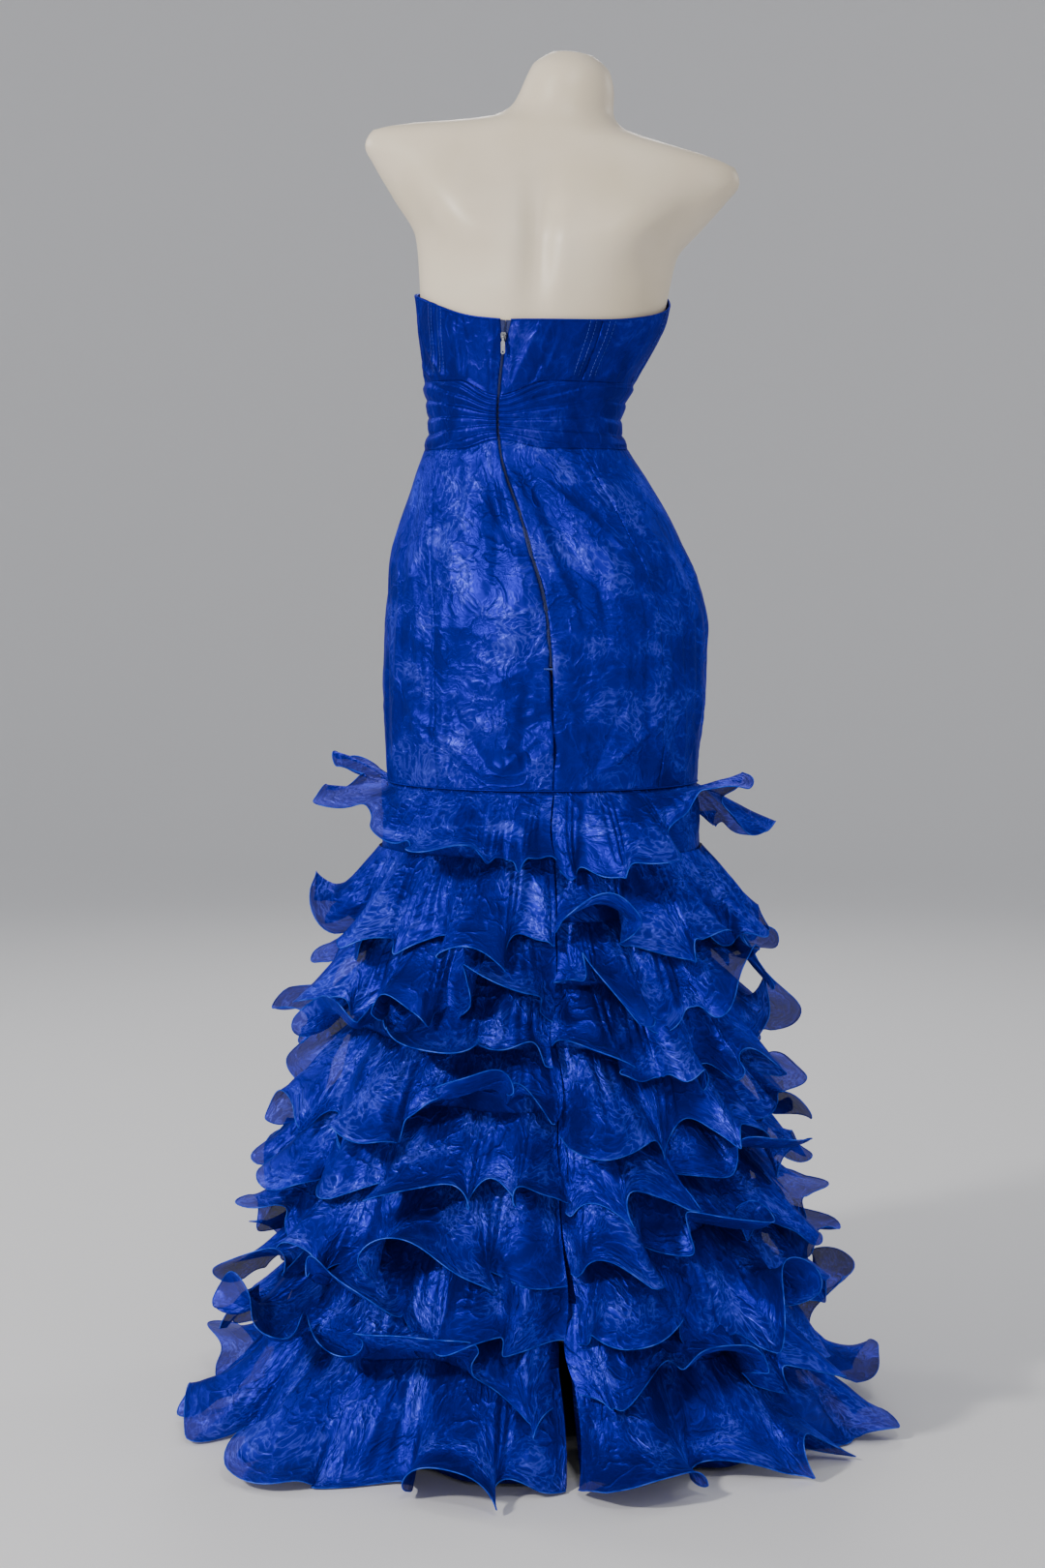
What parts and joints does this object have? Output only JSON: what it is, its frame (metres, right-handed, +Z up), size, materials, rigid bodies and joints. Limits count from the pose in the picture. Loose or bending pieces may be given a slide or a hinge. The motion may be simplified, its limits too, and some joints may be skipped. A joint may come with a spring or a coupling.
{
  "type": "evening gown on dress form",
  "caption": "Strapless floor-length evening gown with a fitted bodice and skirt, ruffled flared lower skirt and back zip, on a limbless dress form.",
  "frame": {"origin": "on the floor at the middle of the underside of the dress form's foot", "axes": "+Z up, +X to the wearer's left, +Y out of the back of the gown, so -Y is the front"},
  "size_m": [0.78, 0.6983, 1.534],
  "materials": {
    "organza": "royal blue organza over satin, crisp, crinkled, with a silky sheen",
    "ruffle_organza": "royal blue organza, half sheer, crisp and shiny, with a fine rolled edge",
    "form_cover": "smooth cream white, faint sheen",
    "stand_paint": "satin off-white paint",
    "zip_metal": "bright nickel-like plating with fine scratches",
    "zip_cord": "dark blue coil and tape"
  },
  "bodies": {
    "gown": {"bodice_centre_back_left": "organza", "bodice_side_back_left": "organza", "bodice_side_front_left": "organza", "bodice_centre_front": "organza", "bodice_side_front_right": "organza", "bodice_side_back_right": "organza", "bodice_centre_back_right": "organza", "waist_back_left": "organza", "waist_front": "organza", "waist_back_right": "organza", "skirt_centre_back_left": "organza", "skirt_side_back_left": "organza", "skirt_front": "organza", "skirt_side_back_right": "organza", "skirt_centre_back_right": "organza", "lower_back_left": "organza", "lower_front": "organza", "lower_back_right": "organza", "ruffle_01": "ruffle_organza", "ruffle_02": "ruffle_organza", "ruffle_03": "ruffle_organza", "ruffle_04": "ruffle_organza", "ruffle_05": "ruffle_organza", "ruffle_06": "ruffle_organza", "ruffle_07": "ruffle_organza", "ruffle_08": "ruffle_organza", "ruffle_09": "ruffle_organza", "ruffle_10": "ruffle_organza", "form_torso": "form_cover", "stand_pole": "stand_paint", "stand_foot": "stand_paint", "zip_chain": "zip_cord", "zip_slider": "zip_metal"},
    "pull": {"zip_pull": "zip_metal"}
  },
  "joints": [
    {"name": "zip_pull_hinge", "type": "hinge", "parent": "gown", "child": "pull", "pos_m": [0.02934, 0.09638, 1.21639], "axis": [0.988, -0.1544, 0], "range_deg": [-8, 160]}
  ]
}
